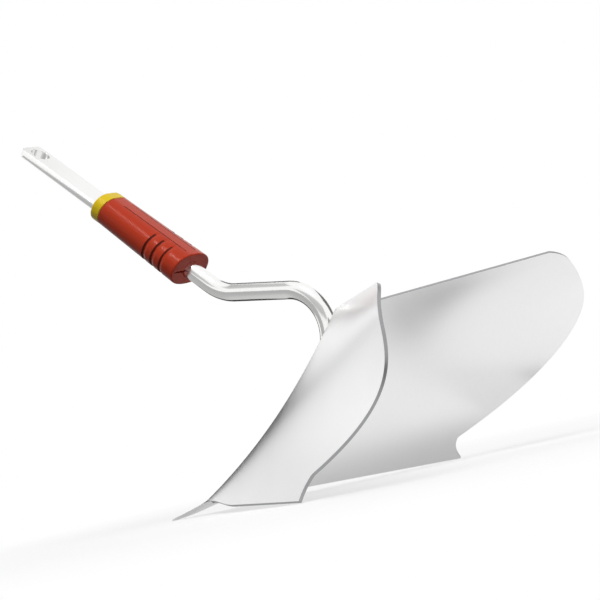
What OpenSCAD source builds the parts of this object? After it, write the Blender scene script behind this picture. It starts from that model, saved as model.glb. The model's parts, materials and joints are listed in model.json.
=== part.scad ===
// Garden ridger head: a pressed two-wing blade with a pointed tongue, welded to a bent steel bar.
// The flat end of the bar is the tang that plugs into a quick-change handle, and a sleeve of two
// moulded shells with a collar covers the root of the tang.
// The head stands on the tip of the tongue and the two heels of the wings, at Z = 0. The handle side
// is -X, the wings open towards +X and the object is the same on both sides of the plane Y = 0.

/* [Blade] */
// Thickness of the blade's sheet
sheet_t = 2.2; // [1.6:0.1:3]
// Length of the spine, where the wings fold, along its curve
spine_l = 176.5; // [140:0.5:215]
// Slope of the spine at its lower end, in degrees
spine_low_a = 25.8; // [20:0.1:32]
// Slope of the spine at the top edge, in degrees
spine_top_a = 46.6; // [40:0.1:54]
// Height of the spine's lower end above the ground
spine_lift = 5.9; // [3:0.1:9]
// Angle between the middle plane and a wing at the bottom edge, in degrees
wing_low_a = 27.2; // [22:0.1:33]
// Angle between the middle plane and a wing at the top edge, in degrees
wing_top_a = 40.3; // [33:0.1:48]
// How late the wings flare on the way up, where 1 is evenly
flare_late = 1.8; // [1:0.1:2.5]
// Softness of the fold at the bottom edge
fold_low = 22; // [10:1:30]
// Softness of the fold at the top edge
fold_top = 7; // [3:0.5:14]
// Climb of the top edge towards its corner, in degrees
top_edge_a = 4; // [0:0.5:8]

/* [Wing outline] */
// Distance from the spine's lower end back to the heel corner
heel_back = 147; // [120:0.5:170]
// Distance from the spine's lower end back to the lip above the heel
lip_back = 154.5; // [130:0.5:178]
// Height of the lip above the ground
lip_h = 15; // [10:0.5:22]
// Distance from the spine's lower end back to the rearmost point of a wing
rear_back = 252; // [205:1:300]
// Height of the rearmost point above the ground
rear_h = 90.5; // [75:0.5:105]
// Distance from the spine's lower end back to the upper corner
corner_back = 248.5; // [200:0.5:298]
// Rounding of the upper corner
corner_r = 7; // [2:0.5:9]

/* [Tongue] */
// Length of the tongue in front of the spine's lower end
tongue_l = 30; // [20:1:45]
// Width of the tongue at its root
root_w = 29.8; // [24:0.2:36]
// Width of the tongue past its root
tongue_w = 12.5; // [10:0.5:18]
// Width of the tongue at its tip
tip_w = 2.5; // [2:0.5:8]
// Thickness of the tongue at its tip
tip_t = 1; // [0.8:0.1:1.6]
// How late the tongue narrows and thins on the way to its tip, where 1 is evenly
tip_late = 3; // [1:0.1:5]
// Slope of the tongue at its tip, in degrees
tip_a = 6; // [2:0.5:12]
// How far up the spine the tongue starts
tongue_root = 5.8; // [4:0.2:9]
// Width over which a wing's bottom edge rises to the tongue
root_run = 24; // [16:1:32]

/* [Slot] */
// Depth of the bar's slot, from the top edge down the spine
slot_l = 34; // [24:0.5:45]
// Gap between the bar and each side of the slot
slot_gap = 0.5; // [0.2:0.1:1]
// Rounding of the slot's upper corners
slot_r = 3; // [1:0.5:5]

/* [Bar] */
// Diameter of the round bar
bar_d = 12; // [9:0.5:14]
// Width of the flat tang
tang_w = 20.5; // [17:0.5:25]
// Thickness of the flat tang
tang_t = 5.5; // [4.5:0.1:7]
// Length of the tang behind the sleeve
tang_l = 75.5; // [50:0.5:110]
// Bevel along the tang's edges
tang_bevel = 1.2; // [0.5:0.1:1.6]
// Rounding of the tang's end corners
tang_r = 5; // [2:0.5:6]
// Length of the forging from round to flat
forge_l = 18; // [12:1:24]
// Slope of the handle's axis above the ground, in degrees
handle_a = 42.4; // [35:0.1:50]
// Slope of the neck between its bends, in degrees
neck_a = 9.3; // [0:0.1:20]
// Length of the straight neck between its bends
neck_l = 44; // [25:1:60]
// Radius of the bend at the sleeve
bend_rear_r = 36; // [24:1:50]
// Radius of the bend at the blade
bend_front_r = 28.5; // [20:0.5:40]
// Slope of the bar's lower end, past upright where over 90, in degrees
stub_a = 102.5; // [92:0.5:112]
// Length of the straight lower end inside the blade
stub_l = 17; // [12:1:24]
// Distance from the top edge down the spine to the end of the front bend
seat_drop = 20; // [16:0.5:26]
// Distance from the spine back to the bar's axis there
seat_in = 2.6; // [1:0.1:4]

/* [Latch hole] */
// Diameter of the latch hole in the tang
latch_d = 13; // [8:0.5:14]
// Distance from the tang's end to the middle of the latch hole
latch_inset = 10; // [8.5:0.5:18]

/* [Sleeve] */
// Length of the bare bar between the bend at the sleeve and the sleeve itself
sleeve_gap = 19; // [15:0.5:30]
// Length of the sleeve's shells
sleeve_l = 74; // [66:0.5:95]
// Width of the sleeve at its rear end
sleeve_rear_w = 29; // [27:0.5:34]
// Height of the sleeve at its rear end
sleeve_rear_h = 21; // [20:0.5:26]
// How far the middle of the rear end lies above the bar's axis
sleeve_rise = 0.8; // [0:0.1:1.2]
// Width of the sleeve at its front end
sleeve_front_w = 36; // [29:0.5:40]
// Height of the sleeve at its front end
sleeve_front_h = 23; // [21:0.5:30]
// Squareness of the sleeve's oval, where 2 is an ellipse
sleeve_square = 2.3; // [2:0.1:3]
// Width of the flat panel along the top of the sleeve
panel_w = 9; // [6:0.5:14]
// Crown of the panel, where 0 is flat and 1 is as round as the sleeve
panel_crown = 0.15; // [0.05:0.05:0.5]
// Distance from the sleeve's rear end to the panel's lines
panel_start = 10; // [6:0.5:16]
// Length of the line on each side of the panel
panel_l = 59; // [40:1:60]
// Width of the line on each side of the panel
line_w = 0.6; // [0.4:0.1:1]
// Depth of the line on each side of the panel
line_depth = 0.5; // [0.3:0.1:0.8]
// Rounding of the sleeve's front edge
rim_r = 1; // [0.5:0.25:2]
// Thickness of the sleeve's front wall
face_l = 6; // [4:0.5:8]
// Gap at each side of the bar in the front wall
mouth_gap = 0.8; // [0.5:0.1:2.5]
// Clearance between the bar and the sleeve
sleeve_clear = 0.25; // [0.1:0.05:0.5]
// Height of the shells' parting plane from the bar's axis
parting = -1; // [-2:0.1:1]

/* [Finger grooves] */
// Number of finger grooves on each side of the sleeve
groove_n = 3; // [1:1:4]
// Distance from one finger groove to the next
groove_pitch = 8; // [6:0.5:9]
// Distance from the sleeve's front end to the first finger groove
groove_start = 12; // [8:0.5:15]
// Width of a finger groove
groove_w = 4; // [3:0.5:6]
// Depth of a finger groove
groove_depth = 0.9; // [0.4:0.1:1.5]

/* [Collar] */
// Length of the collar behind the shells
collar_l = 7.5; // [6:0.5:12]
// Rounding of the collar's rear edge
collar_r = 1.5; // [0.5:0.25:2.5]
// Length of the shells' spigot inside the collar
spigot_l = 4; // [2:0.5:5]
// Wall of the collar around the spigot
collar_wall = 2.2; // [1.6:0.1:3]

/* [Pegs] */
// Diameter of the pegs that lock the sleeve to the tang
peg_d = 5; // [4:0.5:6]
// Distance between the two pegs
peg_pitch = 18; // [12:1:24]
// Length of a peg above the tang
peg_over = 3; // [2:0.5:4]
// Clearance around and above a peg
peg_clear = 0.15; // [0.1:0.05:0.3]

/* [Welds] */
// Radius of a weld bead
weld_r = 2.4; // [1.5:0.1:3]
// Length of a weld bead
weld_l = 11; // [6:0.5:14]
// Distance from the end of the front bend down the spine to the middle of a weld bead
weld_drop = 2; // [0:0.5:5]

/* [Hidden] */
$fn = 48;
steel = [0.78, 0.79, 0.80];
red = [0.55, 0.10, 0.06];
yellow = [0.90, 0.76, 0.08];
hair = 0.05; // face-to-face seats stay this far apart
far = 200; // larger than any piece that a cut passes through

// Shared curves
function mix(a, b, k) = a + (b - a) * k;
function ease(k) = k * k * (3 - 2 * k);
function limit(k) = max(0, min(1, k));
function unit(p) = p / norm(p);
// Quarter round of radius r: how much it takes off at distance d from the end
function round_off(d, r) = d >= r ? 0 : r - sqrt(max(0, r * r - pow(r - max(0, d), 2)));
// Steps from 0 to 1 that are close together at both ends
function eased_steps(n) = [for (i = [0:n]) (1 - cos(180 * i / n)) / 2];

// Blade: the middle surface of the sheet, at a height share v of the spine and a sideways place y
spine_r = spine_l / ((spine_top_a - spine_low_a) * PI / 180);
function spine_a(v) = mix(spine_low_a, spine_top_a, v);
function spine_at(v) = [spine_r * (sin(spine_a(v)) - sin(spine_low_a)),
                        spine_lift + spine_r * (cos(spine_low_a) - cos(spine_a(v)))];
function wing_a(v) = mix(wing_low_a, wing_top_a, ease(pow(limit(v), flare_late)));
function fold(v) = mix(fold_low, fold_top, v);
low_climb = (sheet_t / 2 - spine_lift) / heel_back; // brings the heel down to the ground
function climb(v) = mix(low_climb, tan(top_edge_a), v);
function swept(v, y) = sqrt(pow(fold(v), 2) + pow(y / tan(wing_a(v)), 2)) - fold(v);
function side_at(v, back) = tan(wing_a(v)) * sqrt(pow(back + fold(v), 2) - pow(fold(v), 2));
function sheet(v, y) = let (s = spine_at(v), b = swept(v, y)) [s.x + b, y, s.y + climb(v) * b];

// Wing outline seen from the side: how far back the free edge lies at height z
top_back = corner_back - spine_at(1).x;
top_h = spine_at(1).y + tan(top_edge_a) * top_back;
notch_bend = 2.2; // how far the notch between heel and lip is hollowed
edge_tries = 8; // rounds that find the free edge on a climbing row
function outline(z) =
    z < lip_h ? mix(heel_back, lip_back, pow(limit(z / lip_h), notch_bend))
  : z < rear_h ? mix(rear_back, lip_back, pow((rear_h - z) / (rear_h - lip_h), 2))
  : mix(rear_back, corner_back, pow((z - rear_h) / (top_h - rear_h), 2))
    - round_off(top_h - z, corner_r);
function edge_back(v, back, tries) = tries == 0 ? back
  : edge_back(v, outline(spine_at(v).y + climb(v) * back) - spine_at(v).x, tries - 1);
function half_span(v) = side_at(v, edge_back(v, heel_back, edge_tries));

// Blade grid: tongue rows from the tip up to the root, then wing rows up to the top edge
tongue_rows = 10;
low_rows = 18;
slot_rows = 9;
core = 4; // columns on each side of the middle that carry on into the tongue
slot_cols = 2; // of these, the columns inside the slot
wing_cols = 13;
mid_col = core + wing_cols;
cols = 2 * mid_col + 1;
slot_row = tongue_rows + low_rows;
last_row = slot_row + slot_rows;
root_v = tongue_root / spine_l;
slot_half = bar_d / 2 + slot_gap;
slot_v = 1 - slot_l / spine_l;
row_v = concat([for (k = [0:tongue_rows - 1]) 0],
               [for (k = [0:low_rows - 1]) slot_v * (1 - cos(90 * k / low_rows))],
               [for (k = eased_steps(slot_rows)) mix(slot_v, 1, k)]);

// The core is as wide as the tongue's root at the bottom and wider than the slot from the slot's end up
core_spread = 1.7;
function up_core(v) = ease(limit(v / slot_v));
function core_half(v) = mix(root_w / 2, slot_half * core_spread, up_core(v));
function core_in(v) = mix(root_w / 2 * slot_cols / core, slot_half, up_core(v));
function core_y(c, inside, half) = c <= slot_cols ? inside * c / slot_cols
  : mix(inside, half, (c - slot_cols) / (core - slot_cols));
function slot_flare(v) = round_off((1 - v) * spine_l, slot_r);
col_bunch = 1.5; // draws the columns together near the fold
function col_y(v, c) =
    c > core ? mix(core_half(v), half_span(v), pow((c - core) / wing_cols, col_bunch))
  : core_y(c, core_in(v), core_half(v))
    + (c >= slot_cols ? slot_flare(v) * (core - c) / (core - slot_cols) : 0);
// Rows rise round the tongue's root at the bottom, and dip round the slot's end
root_fade = 6;
function root_rise(y) = root_v * ease(limit(1 - max(0, y - root_w / 2) / root_run));
function slot_dip(y) = sqrt(max(0, pow(slot_half, 2) - y * y)) / spine_l;
slot_reach = 4 * slot_half / spine_l;
function near_slot(v) = limit(1 - abs(v - slot_v) / slot_reach);
function bent_v(v, y) = v + root_rise(y) * pow(1 - v, root_fade) - slot_dip(y) * near_slot(v);

// Tongue: its middle line runs on from the spine and levels out at the tip
tip = [-tongue_l, tip_t / 2];
root = spine_at(root_v);
tip_reach = (root.x - tip.x) / 3;
root_reach = tip_reach * 0.5; // the bend is nearer to the root
root_bunch = 1.5; // draws the tongue's rows together near its root
root_narrow = 6; // how soon the tongue narrows past its root
function tongue_t(row) = row < tongue_rows ? pow(1 - row / tongue_rows, root_bunch) : 0;
function tongue_half(t) = mix(tongue_w, tip_w, pow(t, tip_late)) / 2
    + (root_w - tongue_w) / 2 * pow(1 - t, root_narrow);
function half_wall(row) = mix(sheet_t, tip_t, pow(tongue_t(row), tip_late)) / 2;
function tongue_line(t) = let (
        a = root - root_reach * [cos(spine_a(root_v)), sin(spine_a(root_v))],
        b = tip + tip_reach * [cos(tip_a), sin(tip_a)])
    pow(1 - t, 3) * root + 3 * t * pow(1 - t, 2) * a + 3 * t * t * (1 - t) * b + pow(t, 3) * tip;
function tongue(t, c) = let (
        half = tongue_half(t), y = core_y(c, half * slot_cols / core, half),
        p = tongue_line(t), b = swept(root_v, y) * (1 - t))
    [p.x + b, y, p.y + climb(root_v) * b];

function grid_half(row, c) = row < tongue_rows ? tongue(tongue_t(row), min(c, core))
  : let (y = col_y(row_v[row], c)) sheet(bent_v(row_v[row], y), y);
half_grid = [for (row = [0:last_row]) [for (c = [0:mid_col]) grid_half(row, c)]];
function grid(row, col) = let (
        p = half_grid[max(0, min(last_row, row))][min(mid_col, abs(col - mid_col))])
    col < mid_col ? [p.x, -p.y, p.z] : p;
// A wing's bottom row has no row below it
function row_under(row, col) = row == tongue_rows && abs(col - mid_col) > core ? row : row - 1;
function grid_normal(row, col) = let (
        across = grid(row, min(cols - 1, col + 1)) - grid(row, max(0, col - 1)),
        n = cross(across, grid(row + 1, col) - grid(row_under(row, col), col)))
    norm(n) == 0 ? n : unit(n);

function in_blade(row, col) = row >= 0 && row < last_row && col >= 0 && col < cols - 1
    && (row >= tongue_rows || (col >= mid_col - core && col < mid_col + core))
    && (row < slot_row || col < mid_col - slot_cols || col >= mid_col + slot_cols);

blade_points = [for (side = [-1, 1]) for (row = [0:last_row]) for (col = [0:cols - 1])
    grid(row, col) + side * half_wall(row) * grid_normal(row, col)];

// Two triangles of a four-cornered face
function split(a, b, c, d, flip) = flip ? [[a, b, d], [b, c, d]] : [[a, b, c], [a, c, d]];
// Faces of one cell: outer side, inner side, and a wall wherever the neighbour is left out
inner = (last_row + 1) * cols;
function cell_faces(row, col) = let (
        a = row * cols + col, b = a + 1, c = b + cols, d = a + cols, flip = col < mid_col)
    concat(split(a, b, c, d, flip), split(a + inner, d + inner, c + inner, b + inner, !flip),
        in_blade(row - 1, col) ? [] : split(b, a, a + inner, b + inner, flip),
        in_blade(row + 1, col) ? [] : split(d, c, c + inner, d + inner, flip),
        in_blade(row, col - 1) ? [] : split(a, d, d + inner, a + inner, flip),
        in_blade(row, col + 1) ? [] : split(c, b, b + inner, c + inner, flip));

// Bar: places in the middle plane, from the blade back to the handle
seat = spine_at(1 - seat_drop / spine_l) + [seat_in, 0];
front_c = seat - bend_front_r * [sin(stub_a), cos(stub_a)];
neck_front = front_c + bend_front_r * [sin(neck_a), cos(neck_a)];
neck_rear = neck_front - neck_l * [cos(neck_a), -sin(neck_a)];
rear_c = neck_rear + bend_rear_r * [sin(neck_a), cos(neck_a)];
neck_root = rear_c - bend_rear_r * [sin(handle_a), cos(handle_a)];

// Stations on the handle's axis, where -X runs from the neck to the end of the tang
sleeve_x = -sleeve_gap;
forge_x = sleeve_x - face_l;
flat_x = forge_x - forge_l;
collar_x = sleeve_x - sleeve_l;
tang_x = collar_x - collar_l;
end_x = tang_x - tang_l;
latch_x = end_x + latch_inset;
peg_x = [for (k = [-0.5, 0.5]) (flat_x + collar_x) / 2 + k * peg_pitch];

// Place on the ground: the lowest point of the blade is at Z = 0 and the box is centred on X
low_z = min([for (p = blade_points) p.z]);
back_x = max([for (p = blade_points) p.x]);
front_x = neck_root.x + end_x * cos(handle_a) - tang_t / 2 * sin(handle_a);
module on_ground() translate([-(back_x + front_x) / 2, 0, -low_z]) children();
module on_handle() on_ground()
    translate([neck_root.x, 0, neck_root.y]) rotate([0, handle_a, 0]) children();

module blade() {
    color(steel) on_ground()
        polyhedron(blade_points, [for (row = [0:last_row - 1]) for (col = [0:cols - 2])
            if (in_blade(row, col)) each cell_faces(row, col)], convexity = 6);
}

// Closed skin over a row of rings with the same number of points. The cap lists the first ring's faces,
// and turn is true for rings that run the other way round.
function turned(list) = [for (k = [len(list) - 1:-1:0]) list[k]];
module skin(rings, cap, turn = false) {
    n = len(rings[0]);
    last = len(rings) - 1;
    faces = concat(
        [for (i = [0:last - 1]) for (k = [0:n - 1]) let (a = i * n + k, b = i * n + (k + 1) % n)
            each [[a, a + n, b + n], [a, b + n, b]]],
        cap, [for (face = cap) turned([for (k = face) k + last * n])]);
    polyhedron([for (ring = rings) each ring], [for (face = faces) turn ? turned(face) : face],
        convexity = 6);
}

// Round bar: rings from the forging at the tang down to the lower end, at places [point, slope, flatness]
bar_n = 32;
rear_steps = 8;
front_steps = 20;
function handle_at(x) = neck_root + x * [cos(handle_a), -sin(handle_a)];
bar_stops = concat(
    [[handle_at(flat_x), handle_a, 1], [handle_at(forge_x), handle_a, 0]],
    [for (k = [0:rear_steps]) let (a = mix(handle_a, neck_a, k / rear_steps))
        [rear_c - bend_rear_r * [sin(a), cos(a)], a, 0]],
    [for (k = [0:front_steps]) let (a = mix(neck_a, stub_a, k / front_steps))
        [front_c + bend_front_r * [sin(a), cos(a)], a, 0]],
    [[seat + stub_l * [cos(stub_a), -sin(stub_a)], stub_a, 0]]);
// Place of a ring's point k on the tang: one point on each side edge, the others along the faces
flat_steps = bar_n / 2 - 3;
function flat_quarter(j) = j == 0 ? [tang_w / 2, tang_t / 2 - tang_bevel]
  : [(tang_w / 2 - tang_bevel) * (1 - 2 * (j - 1) / flat_steps), tang_t / 2];
function flat_point(k) = let (
        upper = k < bar_n / 2, m = upper ? k : bar_n - 1 - k,
        near = m < bar_n / 4, q = flat_quarter(near ? m : bar_n / 2 - 1 - m))
    [near ? q.x : -q.x, upper ? q.y : -q.y];
function bar_ring(stop) = [for (k = [0:bar_n - 1]) let (
        a = 360 * (k + 0.5) / bar_n, q = mix(bar_d / 2 * [cos(a), sin(a)], flat_point(k), stop[2]))
    [stop[0].x + q.y * sin(stop[1]), q.x, stop[0].y + q.y * cos(stop[1])]];
bar_cap = [for (k = [0:bar_n / 2 - 2]) [k, k + 1, bar_n - 2 - k, bar_n - 1 - k]];

// Bevelled cross-section of the tang, larger by a clearance all round, from one station to another
module tang_solid(from, to, clear = 0) {
    x = tang_t / 2 + clear;
    y = tang_w / 2 + clear;
    c = tang_bevel;
    translate([from, 0, 0]) rotate([0, 90, 0]) linear_extrude(to - from)
        polygon([[x, y - c], [x - c, y], [c - x, y], [-x, y - c],
                 [-x, c - y], [c - x, -y], [x - c, -y], [x, c - y]]);
}

module tang_plan() {
    translate([end_x + tang_r, -tang_w / 2]) square([flat_x - end_x - tang_r, tang_w]);
    translate([end_x, tang_r - tang_w / 2]) square([2 * tang_r, tang_w - 2 * tang_r]);
    for (side = [-1, 1]) translate([end_x + tang_r, side * (tang_w / 2 - tang_r)]) circle(r = tang_r);
}

// One cylinder on every peg, from a height up
module peg_row(z, d, h) for (x = peg_x) translate([x, 0, z]) cylinder(d = d, h = h);

// The bar and its tang are one forging, parted where the sleeve hides it so that each is a simple form
module neck_bar() {
    color(steel) on_ground() skin([for (stop = bar_stops) bar_ring(stop)], bar_cap);
}

module tang() {
    color(steel) on_handle() difference() {
        intersection() {
            tang_solid(end_x, flat_x - hair);
            linear_extrude(tang_t, center = true) tang_plan();
        }
        translate([latch_x, 0, 0]) cylinder(d = latch_d, h = 2 * tang_t, center = true);
        peg_row(-tang_t, peg_d + 2 * peg_clear, 2 * tang_t);
    }
}

// Sleeve outline: a squarish oval that grows towards the front, with a flat panel on top
function sleeve_k(x) = limit((x - collar_x) / sleeve_l);
function sleeve_half(x) = [mix(sleeve_rear_w, sleeve_front_w, sleeve_k(x)),
                           mix(sleeve_rear_h, sleeve_front_h, sleeve_k(x))] / 2;
function bowed(k) = sign(k) * pow(abs(k), 2 / sleeve_square);
function panel_z(half) = half.y * pow(1 - pow(panel_w / 2 / half.x, sleeve_square), 1 / sleeve_square);
function oval(half, a) = let (z = half.y * bowed(sin(a)), flat = panel_z(half))
    [half.x * bowed(cos(a)), z > flat ? mix(flat, z, panel_crown) : z];
function sleeve_up(x) = mix(sleeve_rise, 0, sleeve_k(x));
// Finger grooves run round the sides and fade out towards the top and the bottom
groove_reach = 1.6;
groove_fade = 0.35;
groove_x = [for (k = [0:groove_n - 1]) sleeve_x - groove_start - k * groove_pitch];
function groove(x) = let (d = 2 * min([for (g = groove_x) abs(x - g)]) / groove_w)
    d < 1 ? (1 + cos(180 * d)) / 2 : 0;
function groove_side(a) = ease(limit(groove_reach * abs(cos(a)) - groove_fade));
function sleeve_point(x, a, inset) = let (p = oval(sleeve_half(x) - [inset, inset], a))
    p * (1 - groove_depth * groove(x) * groove_side(a) / norm(p)) + [0, sleeve_up(x)];
// Bore of the shells: flat round the tang, and wider than high in the front wall
function forged(x) = limit((x - flat_x) / forge_l);
function bore_half(x) = [mix(tang_w / 2 + sleeve_clear, bar_d / 2 + mouth_gap, forged(x)),
                         mix(tang_t, bar_d, forged(x)) / 2 + sleeve_clear];
function bore_bevel(x) = mix(tang_bevel, bar_d / 6, forged(x));

arc_steps = 20;
function parting_a(x, inset) = let (z = (parting - sleeve_up(x)) / (sleeve_half(x).y - inset))
    sign(z) * asin(pow(abs(z), sleeve_square / 2));
// Ring of one shell: over the outside from one parting edge to the other, then back along the bore
function shell_ring(x, side, inset) = let (
        h = bore_half(x), c = bore_bevel(x), p = parting + side * hair / 2, low = side * parting_a(x, inset),
        outside = [for (k = [0:arc_steps])
            let (a = mix(low, 180 - low, k / arc_steps), o = sleeve_point(x, side * a, inset))
            [x, o.x, k == 0 || k == arc_steps ? p : o.y]],
        bore = [for (q = [[-h.x, p], [-h.x, side * (h.y - c)], [c - h.x, side * h.y],
                          [h.x - c, side * h.y], [h.x, side * (h.y - c)], [h.x, p]]) [x, q.x, q.y]])
    concat(outside, bore);
// End face of a shell: triangles between the outside and the bore
bore_n = 6;
function bore_at(k) = arc_steps + bore_n - floor(k * bore_n / arc_steps);
shell_cap = concat(
    [for (k = [0:arc_steps - 1]) [k, k + 1, bore_at(k)]],
    [for (k = [1:arc_steps - 1]) if (bore_at(k) != bore_at(k - 1)) [k, bore_at(k), bore_at(k - 1)]]);

// Rings are close together along the finger grooves, and round off the front edge
plain_n = 4;
fine_n = 26;
rim_n = 3;
fine_x = groove_x[groove_n - 1] - groove_w;
spigot_in = collar_wall + sleeve_clear;
module half_shell(side) {
    skin(concat(
        [for (x = [collar_x - spigot_l, collar_x]) shell_ring(x, side, spigot_in)],
        [for (k = [0:plain_n - 1]) shell_ring(mix(collar_x + sleeve_clear, fine_x, k / plain_n), side, 0)],
        [for (k = [0:fine_n]) shell_ring(mix(fine_x, sleeve_x - rim_r, k / fine_n), side, 0)],
        [for (k = [1:rim_n]) let (a = 90 * k / rim_n)
            shell_ring(sleeve_x - rim_r * (1 - sin(a)), side, rim_r * (1 - cos(a)))]),
        shell_cap, side < 0);
}

// Thin line pressed into the sleeve along one side of the panel
module panel_line(side) {
    rear_z = panel_z(sleeve_half(collar_x)) + sleeve_rise;
    rise = panel_z(sleeve_half(sleeve_x)) - rear_z;
    translate([collar_x, side * panel_w / 2, rear_z]) rotate([0, -atan(rise / sleeve_l), 0])
        translate([panel_start, -line_w / 2, -line_depth])
            cube([panel_l, line_w, 2 * line_depth]);
}

module sleeve_upper_shell() {
    color(red) on_handle() difference() {
        half_shell(1);
        peg_row(0, peg_d + 2 * peg_clear, tang_t / 2 + peg_over + peg_clear);
        for (side = [-1, 1]) panel_line(side);
    }
}

module sleeve_lower_shell() {
    color(red) on_handle() {
        half_shell(-1);
        peg_row(-tang_t / 2 - 2 * sleeve_clear, peg_d, tang_t + 2 * sleeve_clear + peg_over);
    }
}

collar_n = 40;
collar_rim_n = 4;
collar_cap = [[for (k = [0:collar_n - 1]) k]];
function collar_outline(x, inset) = [for (k = [0:collar_n - 1])
    let (o = sleeve_point(collar_x, 360 * k / collar_n, inset)) [x, o.x, o.y]];

module collar_ring() {
    color(yellow) on_handle() difference() {
        skin(concat([for (k = [0:collar_rim_n]) let (d = collar_r * (1 - cos(90 * k / collar_rim_n)))
                collar_outline(tang_x + d, round_off(d, collar_r))], [collar_outline(collar_x - hair, 0)]),
            collar_cap);
        skin([for (x = [collar_x - spigot_l - sleeve_clear, collar_x + collar_l])
            collar_outline(x, collar_wall)], collar_cap);
        tang_solid(tang_x - collar_l, collar_x + collar_l, sleeve_clear);
    }
}

// Weld beads: each lies in the corner between the bar and the inner face of a wing, beside the slot
module along(p, direction)
    translate(p) rotate([0, acos(direction.z), atan2(direction.y, direction.x)]) children();

weld_lap = 1; // how far the straight cut reaches into the bend's cut
module weld(side) {
    v = 1 - (seat_drop + weld_drop) / spine_l;
    step = 0.01;
    edge = unit(sheet(v + step, slot_half) - sheet(v - step, slot_half));
    inward = unit(cross(sheet(v, slot_half + step) - sheet(v, slot_half - step), edge));
    corner = sheet(v, slot_half) + inward * sheet_t / 2;
    bar_room = bar_d + 2 * hair;
    on_ground() mirror([0, side > 0 ? 0 : 1, 0]) difference() {
        along(corner + inward * weld_r / 3, edge) {
            cylinder(r = weld_r, h = weld_l, center = true);
            for (end = [-1, 1]) translate([0, 0, end * weld_l / 2]) sphere(r = weld_r);
        }
        along(corner + inward * 2 * hair, inward) translate([-far / 2, -far / 2, -far]) cube(far);
        translate([seat.x, 0, seat.y]) rotate([0, 90 + stub_a, 0])
            translate([0, 0, -weld_lap]) cylinder(d = bar_room, h = far);
        translate([front_c.x, 0, front_c.y]) rotate([90, 0, 0]) rotate([0, 0, 90 - stub_a])
            rotate_extrude(angle = stub_a - neck_a) translate([bend_front_r, 0]) circle(d = bar_room);
    }
}

module weld_left() {
    color(steel) weld(1);
}

module weld_right() {
    color(steel) weld(-1);
}

blade();
neck_bar();
tang();
sleeve_upper_shell();
sleeve_lower_shell();
collar_ring();
weld_left();
weld_right();
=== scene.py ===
"""Looks of the garden ridger head: a folded steel blade on a bent bar with a moulded sleeve."""

import json
import logging
import math
from dataclasses import dataclass
from enum import Enum, IntEnum

import bmesh
import bpy
from mathutils import Matrix, Vector

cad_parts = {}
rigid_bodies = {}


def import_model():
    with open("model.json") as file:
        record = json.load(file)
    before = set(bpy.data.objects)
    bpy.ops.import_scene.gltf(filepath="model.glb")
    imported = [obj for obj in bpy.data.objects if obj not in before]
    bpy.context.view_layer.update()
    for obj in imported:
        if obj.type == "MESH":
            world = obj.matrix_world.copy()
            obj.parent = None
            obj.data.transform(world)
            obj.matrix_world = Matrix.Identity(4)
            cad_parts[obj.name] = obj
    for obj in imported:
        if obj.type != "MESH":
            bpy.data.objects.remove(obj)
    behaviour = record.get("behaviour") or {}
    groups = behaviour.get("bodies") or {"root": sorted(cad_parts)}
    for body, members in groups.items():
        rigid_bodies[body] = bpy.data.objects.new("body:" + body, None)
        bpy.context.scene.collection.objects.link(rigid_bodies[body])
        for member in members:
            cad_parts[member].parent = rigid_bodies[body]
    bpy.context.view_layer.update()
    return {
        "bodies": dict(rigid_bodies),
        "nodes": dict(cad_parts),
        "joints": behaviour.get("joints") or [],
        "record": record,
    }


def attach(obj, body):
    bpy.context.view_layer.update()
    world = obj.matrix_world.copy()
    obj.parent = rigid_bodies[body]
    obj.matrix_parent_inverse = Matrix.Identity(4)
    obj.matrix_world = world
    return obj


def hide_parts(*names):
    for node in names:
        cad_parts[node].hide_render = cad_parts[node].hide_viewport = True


LOG = logging.getLogger("ridger")
MM = 0.001
QUARTER = math.pi / 2
TINY = 1e-9
JOIN = 0.001
WHITE = (1, 1, 1, 1)
Point2 = tuple[float, float]
Point3 = tuple[float, float, float]
Station = tuple[float, list[Point2]]
Inputs = dict[str | int, object]
BMesh = bmesh.types.BMesh
Material = bpy.types.Material
Object = bpy.types.Object


class Slot(Enum):
    """Material slots of the record, one for each kind of rebuilt piece."""

    BLADE = "blade_steel"
    BAR = "bar_steel"
    SLEEVE = "sleeve_red"
    COLLAR = "collar_yellow"


class BladeFace(IntEnum):
    """Material indexes of the blade's faces. The cut edges of each have the next index."""

    WING = 0
    TONGUE = 2


class ShellFace(IntEnum):
    """Material indexes of a shell's faces, apart from its plain ones at 0. LINE and STEEP take
    darker reds, painted shade in the panel's lines and on the grooves' steep rear sides.
    """

    LINE = 1
    STEEP = 2


def mix(a: float, b: float, k: float) -> float:
    """Straight blend from a to b."""
    return a + (b - a) * k


def ease(k: float) -> float:
    """Blend share with a soft start and end."""
    return k * k * (3 - 2 * k)


def limit(k: float) -> float:
    """Share held between 0 and 1."""
    return max(0.0, min(1.0, k))


def round_off(d: float, r: float) -> float:
    """What a quarter round takes off near an end.

    Args:
        d: Distance from the end.
        r: Radius of the round.

    Returns:
        The depth removed at that distance.
    """
    if d >= r:
        return 0.0
    return r - math.sqrt(max(0.0, r * r - (r - max(0.0, d)) ** 2))


# Materials


class Graph:
    """A node tree that is filled node by node."""

    def __init__(self, tree: bpy.types.NodeTree) -> None:
        """Takes the tree to fill."""
        self.tree = tree

    def add(self, kind: str, inputs: Inputs | None = None, **settings: object) -> bpy.types.Node:
        """Adds a node.

        Args:
            kind: Kind of the node.
            inputs: What feeds its inputs.
            **settings: The node's own settings, made before its inputs are fed.

        Returns:
            The new node.
        """
        node = self.tree.nodes.new(kind)
        for name, value in settings.items():
            setattr(node, name, value)
        self.feed(node, inputs or {})
        return node

    def feed(self, node: bpy.types.Node, inputs: Inputs) -> None:
        """Feeds the inputs of a node.

        Args:
            node: The node.
            inputs: A value or another node's socket for each input, by its name or number.
        """
        for key, value in inputs.items():
            if isinstance(value, bpy.types.NodeSocket):
                self.tree.links.new(value, node.inputs[key])
            else:
                node.inputs[key].default_value = value


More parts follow.
